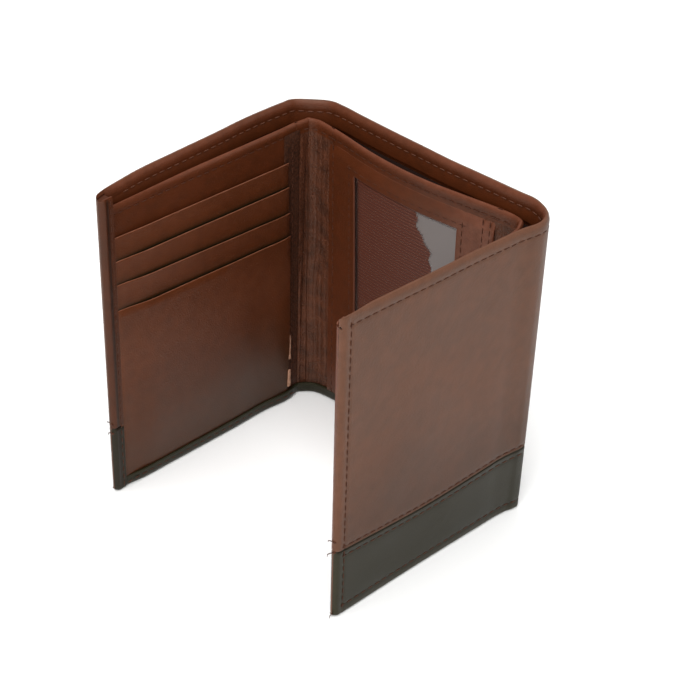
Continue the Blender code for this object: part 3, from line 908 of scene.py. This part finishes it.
reaches = spread(LEFT_END - 18.9, LEFT_END - 12.7, 1.0)
strip = sheet("slip_strip_left", on_wall, reaches, (3.4, 99.0, 4), 0.05, 0.3, stippled_fabric)
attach(strip, "left_leaf")
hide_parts("left_slip_lining")

POCKET_SIDE, POCKET_FREE = LEFT_END - 17.6, FIRST_REACH + 3.4


def step_out(reach, heights=99.0):
    """The pocket sheets are pressed flat where they are sewn, and stand out in between."""
    middle = float(eased((reach - POCKET_FREE) / 14) * eased((POCKET_SIDE + 8 - reach) / 16))
    return (0.35 + 0.65 * middle) * (0.4 + 0.6 * eased((heights - 3) / 22))


def backing_front(reach, heights):
    return 0.08 + 0.25 * step_out(reach)


reaches = spread(POCKET_FREE, POCKET_SIDE, 2.5)
backing = sheet("pocket_backing_left", on_wall, reaches, (3.4, 88, 5), 0.08, backing_front, red_brown_calf)
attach(backing, "left_leaf")
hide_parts("left_pocket_backing")

mouths = ((91.0, 89.6), (83.0, 81.2), (75.0, 72.0), (66.2, 63.8))


def mouth_at(number, reach):
    free_side, fold_side = mouths[number]
    return free_side + (fold_side - free_side) * (reach - POCKET_FREE) / (POCKET_SIDE - POCKET_FREE)


def painted_pocket_shading(number):
    """Painted shadow just above the mouth of the pocket laid over it, a little paler further up; on the
    front pocket, painted shade towards its foot and fold side and a painted sheen across its middle.
    """

    def shade(reach, rows):
        if number == 4:
            across = eased((POCKET_SIDE - reach) / 60)
            return -0.62 * (1 - eased(rows / 50)) * (1 - 0.45 * across) + 0.12 * bell(rows, 50, 12)
        above = rows - mouth_at(number, reach)
        return -0.95 * np.exp(
            -(np.clip(above, 0, 30) / 0.75)
        ) - 0.3 * np.exp(-(np.clip(above, 0, 30) / 4.0)) + 0.15

    return shade


for number, (free_side, fold_side) in enumerate(mouths):
    front = number == 3
    foot_at = 2.4 if front else free_side - 16

    def heights(reach, levels, number=number, free_side=free_side, foot_at=foot_at):
        stretch = (mouth_at(number, reach) - foot_at) / (free_side - foot_at)
        return foot_at + stretch * (levels - foot_at)

    def lean_out(reach, rows, number=number, free_side=free_side):
        near_mouth = np.exp(-(np.clip(free_side - rows, 0, 99) / 4.0))
        return (0.36 + 0.5 * number + 0.45 * near_mouth) * step_out(reach, rows)

    def front_of(reach, rows, lean=lean_out, front=front):
        swell = 0.25 * np.sin(np.clip(rows / 66, 0, 1) * math.pi) * step_out(reach) if front else 0
        return lean(reach, rows) + 0.42 + swell

    name = "front_pocket" if front else f"card_pocket_{number + 1}"
    # The rim is painted pale, as burnish and painted highlight, and the face carries painted light and
    # shade.
    pocket = sheet(
        f"{name}_left", on_wall, spread(POCKET_FREE, POCKET_SIDE, 2.2), (
            foot_at, free_side, 3 if front else 0.4
        ),
        lean_out, front_of, pocket_calf, heights=heights, wear_and_shading=1.0, shade=painted_pocket_shading(number + 1),
    )
    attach(pocket, "left_leaf")
    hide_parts(f"left_{name}")


def frayed(reach, rows):
    return 1.72 + 0.12 * np.sin(rows * 1.9)


reaches = spread(POCKET_SIDE - 0.3, POCKET_SIDE + 0.55, 0.4)
for name, rows in (("raw_edge_1_left", (5.5, 12.0, 1.5)), ("raw_edge_2_left", (16.5, 25.6, 1.5))):
    sliver = sheet(name, on_wall, reaches, rows, 0.9, frayed, raw_edge)
    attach(sliver, "left_leaf")

# Identity window --------------------------------------------------------------------------------
# A leather frame is sewn round a clear vinyl film over a ribbed dark red lining, on the centre
# leaf. A grey painted reflection lies on the film beside its right edge.

# Ribbed rayon lining: dark red, with fine level ribs 1.15 mm apart that waver.
ribbed_rayon, tree, shader = new_material("ribbed_red_rayon", 0.6, 0.25)
place = add(tree, "ShaderNodeTexCoord").outputs["Object"]
ribs = bands(tree, place, 1.15, "Z", {"Distortion": 0.9, "Detail": 0.0, "Detail Scale": 0.25})
rib_tint = mixed(tree, ribs, "#421e11", "#5e2d1b")
# Painted shadow: the lining is darkened to near black where the mask is below 0.
slit_shadow_mask = add(tree, "ShaderNodeAttribute", attribute_name="wear_and_shading")
slit_shadow_share = calc(tree, "MULTIPLY", slit_shadow_mask.outputs["Fac"], -1.0)
lining_tint = mixed(tree, slit_shadow_share, rib_tint, "#0d0704")
tree.links.new(lining_tint, shader.inputs["Base Color"])
raised(tree, shader, 0.01, ribs)

FRAME_START, FRAME_END = CENTRE_START + 16.6, CENTRE_START + 80.3
WINDOW_START, WINDOW_END, WINDOW_LOW, WINDOW_HIGH = CENTRE_START + 28.2, CENTRE_START + 68.2, 12.0, 90.5

BESIDE_WINDOW = (WINDOW_START - 2.4, WINDOW_END + 1.8)
BESIDE_FRAME = (FRAME_START + 1.8, FRAME_END - 1.3, FRAME_END - 3.6)
OVER_WINDOW, UNDER_WINDOW = WINDOW_HIGH + 1.9, WINDOW_LOW - 2

# Painted shadow along the window's left edge, in the gap behind the frame.
window_lining = sheet(
    "window_lining", on_wall, spread(
        WINDOW_START - 4, WINDOW_END + 4, 0.5
    ), (8, 94.5, 3), 0.02, 0.08, ribbed_rayon,
    shade=lambda reach, rows: np.full_like(rows, -0.95 * bell(reach, WINDOW_START + 0.4, 0.8)),
)
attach(window_lining, "centre_leaf")
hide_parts("id_backing")

# Clear vinyl: thin, glossy and faintly grey, with a grey painted reflection of the white surround beside
# its right edge.
clear_vinyl, tree, shader = new_material("clear_vinyl_film", 0.18, 0.15)
reflection_mask = add(tree, "ShaderNodeAttribute", attribute_name="painted_reflection")
painted_reflection = add(tree, "ShaderNodeMapRange", {"Value": reflection_mask.outputs["Fac"], "To Min": 0.02, "To Max": 0.82})
tree.links.new(painted_reflection.outputs[0], shader.inputs["Alpha"])
shader.inputs["Base Color"].default_value = linear("#7e7673")


def film_wave(reach, heights):
    return 0.14 + 0.04 * np.sin(reach / 5.0 + heights / 11.0)


film_reaches = spread(WINDOW_START - 3.5, WINDOW_END + 3.5, 0.5)
film = sheet(
    "window_film", on_wall, film_reaches, (8.5, 94.0, 0.8),
    film_wave, lambda reach, heights: film_wave(reach, heights) + 0.08, clear_vinyl,
)
REFLECTION_EDGE, REFLECTION_FOOT, REFLECTION_TOP = 57.2, 66.0, 90.3


def painted_reflection_at(run, height):
    """Painted reflection beyond a ragged, leaning edge, above a foot that climbs a little."""
    ragged = 0.9 * math.sin(height * 0.5) + 0.5 * math.sin(height * 1.3 + 0.6)
    beyond = eased((run - REFLECTION_EDGE - ragged + 0.42 * (height - 80)) / 0.5)
    above = eased((height - REFLECTION_FOOT - (run - 55) * 0.35) / 0.8)
    return float(beyond * above * eased((REFLECTION_TOP - height) / 0.6))


spots = [vertex.co / MM for vertex in film.data.vertices]
painted_reflection_values = [painted_reflection_at(spot.x - centre.corner[0], spot.z) for spot in spots]
film.data.attributes.new("painted_reflection", "FLOAT", "POINT").data.foreach_set("value", painted_reflection_values)
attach(film, "centre_leaf")
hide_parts("id_film")

frame_reaches = np.concatenate(
    [
        spread(FRAME_START, WINDOW_START - 0.3, 1.6), spread(WINDOW_START, WINDOW_END, 2.2),
        spread(WINDOW_END + 0.3, FRAME_END, 1.6),
    ]
)
frame_rows = np.concatenate(
    [
        spread(2.6, WINDOW_LOW - 0.3, 2.5), spread(WINDOW_LOW, WINDOW_HIGH, 3.0),
        spread(WINDOW_HIGH + 0.3, 96.8, 1.2),
    ]
)


def cut_window(i, j):
    across = (frame_reaches[i] + frame_reaches[i + 1]) / 2
    up = (frame_rows[j] + frame_rows[j + 1]) / 2
    return WINDOW_START < across < WINDOW_END and WINDOW_LOW < up < WINDOW_HIGH


def frame_front(reach, heights):
    pressed = sum(0.1 * bell(reach, row, 0.5) for row in BESIDE_WINDOW + BESIDE_FRAME)
    front = 0.06 + 0.69 * eased((96.9 - heights) / 3.5)
    return front - pressed - 0.14 * bell(heights, OVER_WINDOW, 0.5)


# The frame's front is painted paler towards its right side; its cut rims are painted pale, as wear and
# painted highlight.
window_frame = sheet(
    "window_frame", on_wall, frame_reaches, frame_rows,
    lambda reach, heights: -0.04 + 0.32 * eased(
        (96.9 - heights) / 3.5
    ), frame_front, red_brown_calf, hole=cut_window,
    wear_and_shading=0.9, shade=lambda reach, rows: np.full_like(
        rows, 0.8 * float(eased((reach - WINDOW_END + 8) / 16))
    ),
)
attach(window_frame, "centre_leaf")
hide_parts("id_frame")

# Right card pockets -----------------------------------------------------------------------------
# The right leaf has the same block of slots as the left one, facing inward.

for number, mouth in enumerate((90.5, 82.2, 73.5, 65.2)):
    front = number == 3
    foot_at = 2.4 if front else mouth - 16
    name = "front_pocket" if front else f"card_pocket_{number + 1}"
    out = 0.12 + 0.45 * number
    # Their rims are painted pale, as wear and painted highlight.
    pocket = sheet(
        f"{name}_right", on_wall, spread(RIGHT_START + 13, LAST_REACH - 3.4, 2.4),
        (foot_at, mouth, 3), out, out + 0.4, pocket_calf, wear_and_shading=1.0,
    )
    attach(pocket, "right_leaf")
    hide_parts(f"right_{name}")

# Stitches ---------------------------------------------------------------------------------------
# The wallet is lock-stitched by machine with bonded brown thread, seven stitches to two
# centimetres: along every edge, on both sides of the band's seam, and round the window.

# Bonded polyester thread: dark brown, faintly shiny, with its twist drawn at 0.35 mm.
def twisted(name, dark, light):
    material, tree, shader = new_material(name, 0.5, 0.15)
    place = add(tree, "ShaderNodeTexCoord").outputs["Object"]
    twist = bands(tree, place, 0.35, "DIAGONAL")
    ply = mixed(tree, twist, dark, light)
    tree.links.new(ply, shader.inputs["Base Color"])
    return material


bonded_thread = twisted("bonded_brown_thread", "#331a10", "#54301f")
# The same thread drawn paler, which shows inside the hems.
pale_thread = twisted("bonded_pale_brown_thread", "#46281c", "#6a4434")

stitch_tree = bpy.data.node_groups.new("machine_stitches", "GeometryNodeTree")
stitch_tree.interface.new_socket("Route", in_out="INPUT", socket_type="NodeSocketGeometry")
for label, value in (("Stitch Length", 0.0019), ("Gap", 0.0007), ("Thickness", 0.00045)):
    stitch_tree.interface.new_socket(
        label, in_out="INPUT", socket_type="NodeSocketFloat"
    ).default_value = value
stitch_tree.interface.new_socket("Thread", in_out="INPUT", socket_type="NodeSocketMaterial")
stitch_tree.interface.new_socket("Stitches", in_out="OUTPUT", socket_type="NodeSocketGeometry")
given = add(stitch_tree, "NodeGroupInput")
line = add(stitch_tree, "GeometryNodeMeshToCurve", {"Mesh": given.outputs["Route"]})
pitch = add(
    stitch_tree, "ShaderNodeMath", {0: given.outputs["Stitch Length"], 1: given.outputs["Gap"]},
    operation="ADD",
)
spots = add(
    stitch_tree, "GeometryNodeResampleCurve", {"Curve": line.outputs[0], "Length": pitch.outputs[0]},
    mode="LENGTH",
)
facing = add(
    stitch_tree, "FunctionNodeAlignRotationToVector", {
        "Vector": add(stitch_tree, "GeometryNodeInputTangent").outputs[0]
    }, axis="X"
)
bead = add(stitch_tree, "GeometryNodeMeshUVSphere", {"Segments": 8, "Rings": 5, "Radius": 0.5})
size = add(
    stitch_tree, "ShaderNodeCombineXYZ",
    {"X": given.outputs["Stitch Length"], "Y": given.outputs["Thickness"], "Z": given.outputs["Thickness"]},
)
placed = add(
    stitch_tree, "GeometryNodeInstanceOnPoints",
    {
        "Points": spots.outputs[0], "Instance": bead.outputs["Mesh"], "Rotation": facing.outputs[0],
        "Scale": size.outputs[0],
    },
)
real = add(stitch_tree, "GeometryNodeRealizeInstances", {"Geometry": placed.outputs[0]})
threaded = add(
    stitch_tree, "GeometryNodeSetMaterial",
    {"Geometry": real.outputs[0], "Material": given.outputs["Thread"]},
)
add(stitch_tree, "NodeGroupOutput", {"Stitches": threaded.outputs[0]})


STITCH_LENGTH, STITCH_GAP, THREAD_WIDTH = 2.2, 0.6, 0.34


def sew(name, routes, thread=None):
    """Rows of stitches along routes of points, made real as one mesh."""
    points, edges = [], []
    for route in routes:
        start = len(points)
        points += [tuple(point * MM) for point in route]
        edges += [(start + step, start + step + 1) for step in range(len(route) - 1)]
    mesh = bpy.data.meshes.new(f"{name}_route")
    mesh.from_pydata(points, edges, [])
    guide = bpy.data.objects.new(f"{name}_route", mesh)
    bpy.context.scene.collection.objects.link(guide)
    stitching = guide.modifiers.new("stitches", "NODES")
    stitching.node_group = stitch_tree
    sockets = {
        item.name: item.identifier for item in stitch_tree.interface.items_tree if item.in_out == "INPUT"
    }
    stitching[sockets["Stitch Length"]] = STITCH_LENGTH * MM
    stitching[sockets["Gap"]] = STITCH_GAP * MM
    stitching[sockets["Thickness"]] = THREAD_WIDTH * MM
    stitching[sockets["Thread"]] = thread or bonded_thread
    evaluated = guide.evaluated_get(bpy.context.evaluated_depsgraph_get())
    stitches = bpy.data.objects.new(name, bpy.data.meshes.new_from_object(evaluated))
    stitches.data.name = name
    bpy.data.objects.remove(guide)
    bpy.context.scene.collection.objects.link(stitches)
    stitches.data.polygons.foreach_set("use_smooth", [True] * len(stitches.data.polygons))
    return stitches


def along(where, start, end, depth, height, step=0.8, shift=False):
    reaches = np.linspace(start, end, max(2, int(abs(end - start) / step)))
    heights = [float(seam_shift(reach, np.array(float(height)))) if shift else height for reach in reaches]
    return where(reaches, depth, np.array(heights, float))


def upward_row(where, reach, depth, low, high, step=2.0):
    heights = np.linspace(low, high, max(2, int(abs(high - low) / step)))
    return where(np.full_like(heights, reach), depth, heights)


ON_SKIN, IN_HEM, ON_FRAME = 0.1, 2.0, 0.68
for side, start in (("left", FIRST_REACH + EDGE_ROW), ("right", LAST_REACH - EDGE_ROW)):
    inner_start = start + (9 if side == "left" else -9)
    outside = sew(
        f"outer_stitches_{side}",
        [
            along(on_skin, start, MID_CENTRE, ON_SKIN, TOP_ROW),
            along(on_skin, start, MID_CENTRE, ON_SKIN, FOOT_ROW),
            along(on_skin, start, MID_CENTRE, ON_SKIN, SEAM_HEIGHT + ROW_ABOVE, shift=True),
            along(on_skin, start, MID_CENTRE, ON_SKIN, SEAM_HEIGHT - ROW_BELOW, shift=True),
            upward_row(on_skin, start, 0.05, FOOT_ROW, TOP_ROW),
        ],
    )
    in_hem = sew(
        f"hem_stitches_{side}", [along(on_skin, inner_start, MID_CENTRE, IN_HEM, TOP_ROW)], pale_thread
    )
    bend_round(in_hem, side)
    bend_round(outside, side)
    nodes = [f"{side}_edge_thread", f"{side}_band_thread_upper", f"{side}_band_thread_lower"]
    if side == "left":
        nodes += [
            "centre_top_thread", "centre_bottom_thread", "centre_band_thread_upper",
            "centre_band_thread_lower",
        ]
    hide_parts(*nodes)

wall_left = sew(
    "inner_stitches_left",
    [
        along(on_wall, FIRST_REACH + 4.6, 72.4, 0.0, WALL_ROW),
        upward_row(on_wall, FIRST_REACH + EDGE_ROW, 1.2, 2.2, 103.6),
        along(on_wall, FIRST_REACH + 5, 70.0, 1.72, 2.2),
        upward_row(on_wall, LEFT_END - 15.6, 0.33, 4, 97),
    ],
)
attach(wall_left, "left_leaf")
wall_centre = sew(
    "window_stitches",
    [
        along(on_wall, FRAME_START + 1.2, FRAME_END - 1.2, 0.0, WALL_ROW),
        *(upward_row(on_wall, row, ON_FRAME, UNDER_WINDOW, OVER_WINDOW) for row in BESIDE_WINDOW),
        along(on_wall, *BESIDE_WINDOW, ON_FRAME, OVER_WINDOW),
        along(on_wall, *BESIDE_WINDOW, ON_FRAME, UNDER_WINDOW),
        *(upward_row(on_wall, row, ON_FRAME, 4, 96) for row in BESIDE_FRAME),
    ],
)
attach(wall_centre, "centre_leaf")
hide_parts("window_thread")
wall_right = sew(
    "inner_stitches_right",
    [
        along(on_wall, RIGHT_START + 12, LAST_REACH - 4.6, 0.0, WALL_ROW),
        upward_row(on_wall, LAST_REACH - EDGE_ROW, 1.15, 2.2, 98.0),
        along(on_wall, RIGHT_START + 12, LAST_REACH - EDGE_ROW, 0.8, 2.2),
    ],
)
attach(wall_right, "right_leaf")
for side, start, end in (("left", 73.0, 92.6), ("right", 177.0, 156.5)):
    gather_row = sew(f"gather_stitches_{side}", [along(on_wall, start, end, 0.12, WALL_ROW)])
    bend_round(gather_row, side)

# Thread ends ------------------------------------------------------------------------------------
# Where rows of stitches end at a free edge, the thread is knotted and snipped, which leaves
# small knots and a few stray ends.

KNOT_RADIUS, STRAND_RADIUS, STRAND_SIDES = 0.55, 0.17, 6


def thread_end(name, knots, strands, body):
    """Small knots with short tapering strands, as one mesh."""
    made = bmesh.new()
    for knot in knots:
        at = Matrix.Translation(Vector(knot * MM)) @ Matrix.Diagonal((1.0, 1.0, 0.75, 1.0))
        bmesh.ops.create_icosphere(made, subdivisions=2, radius=KNOT_RADIUS * MM, matrix=at)
    for points in strands:
        rings = []
        for step, point in enumerate(points):
            ahead = Vector(points[min(step + 1, len(points) - 1)]) - Vector(points[max(step - 1, 0)])
            turn = ahead.to_track_quat("Z", "Y")
            thin = STRAND_RADIUS * (1 - 0.5 * step / (len(points) - 1)) * MM
            ring = []
            for corner in range(STRAND_SIDES):
                angle = corner * math.tau / STRAND_SIDES
                offset = turn @ Vector((math.cos(angle) * thin, math.sin(angle) * thin, 0))
                ring.append(made.verts.new(Vector(point) * MM + offset))
            rings.append(ring)
        for first, second in zip(rings, rings[1:]):
            for corner in range(STRAND_SIDES):
                after = (corner + 1) % STRAND_SIDES
                made.faces.new((first[corner], first[after], second[after], second[corner]))
        made.faces.new(rings[0][::-1])
        made.faces.new(rings[-1])
    bmesh.ops.recalc_face_normals(made, faces=made.faces)
    mesh = bpy.data.meshes.new(name)
    made.to_mesh(mesh)
    made.free()
    mesh.materials.append(bonded_thread)
    mesh.polygons.foreach_set("use_smooth", [True] * len(mesh.polygons))
    ends = bpy.data.objects.new(name, mesh)
    bpy.context.scene.collection.objects.link(ends)
    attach(ends, body)


def strand(start, lean, drop, count=7):
    """A stray end that curls away from a point."""
    return [
        np.array(start) + np.array(lean) * (t + 0.25 * math.sin(t * 4)) + np.array((0, 0, -drop * t * t))
        for t in np.linspace(0, 1, count)
    ]


left_edge = on_wall(np.full(2, FIRST_REACH + 0.2), np.array([0.2, 0.2]), np.array([26.0, 22.6]))
thread_end(
    "thread_ends_left",
    left_edge,
    [strand(left_edge[0], (-2.6, -0.3, 0.4), 0.6), strand(left_edge[1], (-2.2, -0.3, -0.5), 0.9)],
    "left_leaf",
)
right_edge = on_skin(np.full(3, LAST_REACH - 0.2), np.full(3, 1.2), np.array([28.4, 24.6, 1.2]))
thread_end(
    "thread_ends_right",
    right_edge[:2],
    [
        strand(right_edge[0], (-1.8, -1.4, 0.8), 0.8), strand(right_edge[1], (-1.6, -1.8, -0.6), 1.0),
        strand(right_edge[2], (0.6, -2.0, 0.3), 0.9),
    ],
    "right_leaf",
)
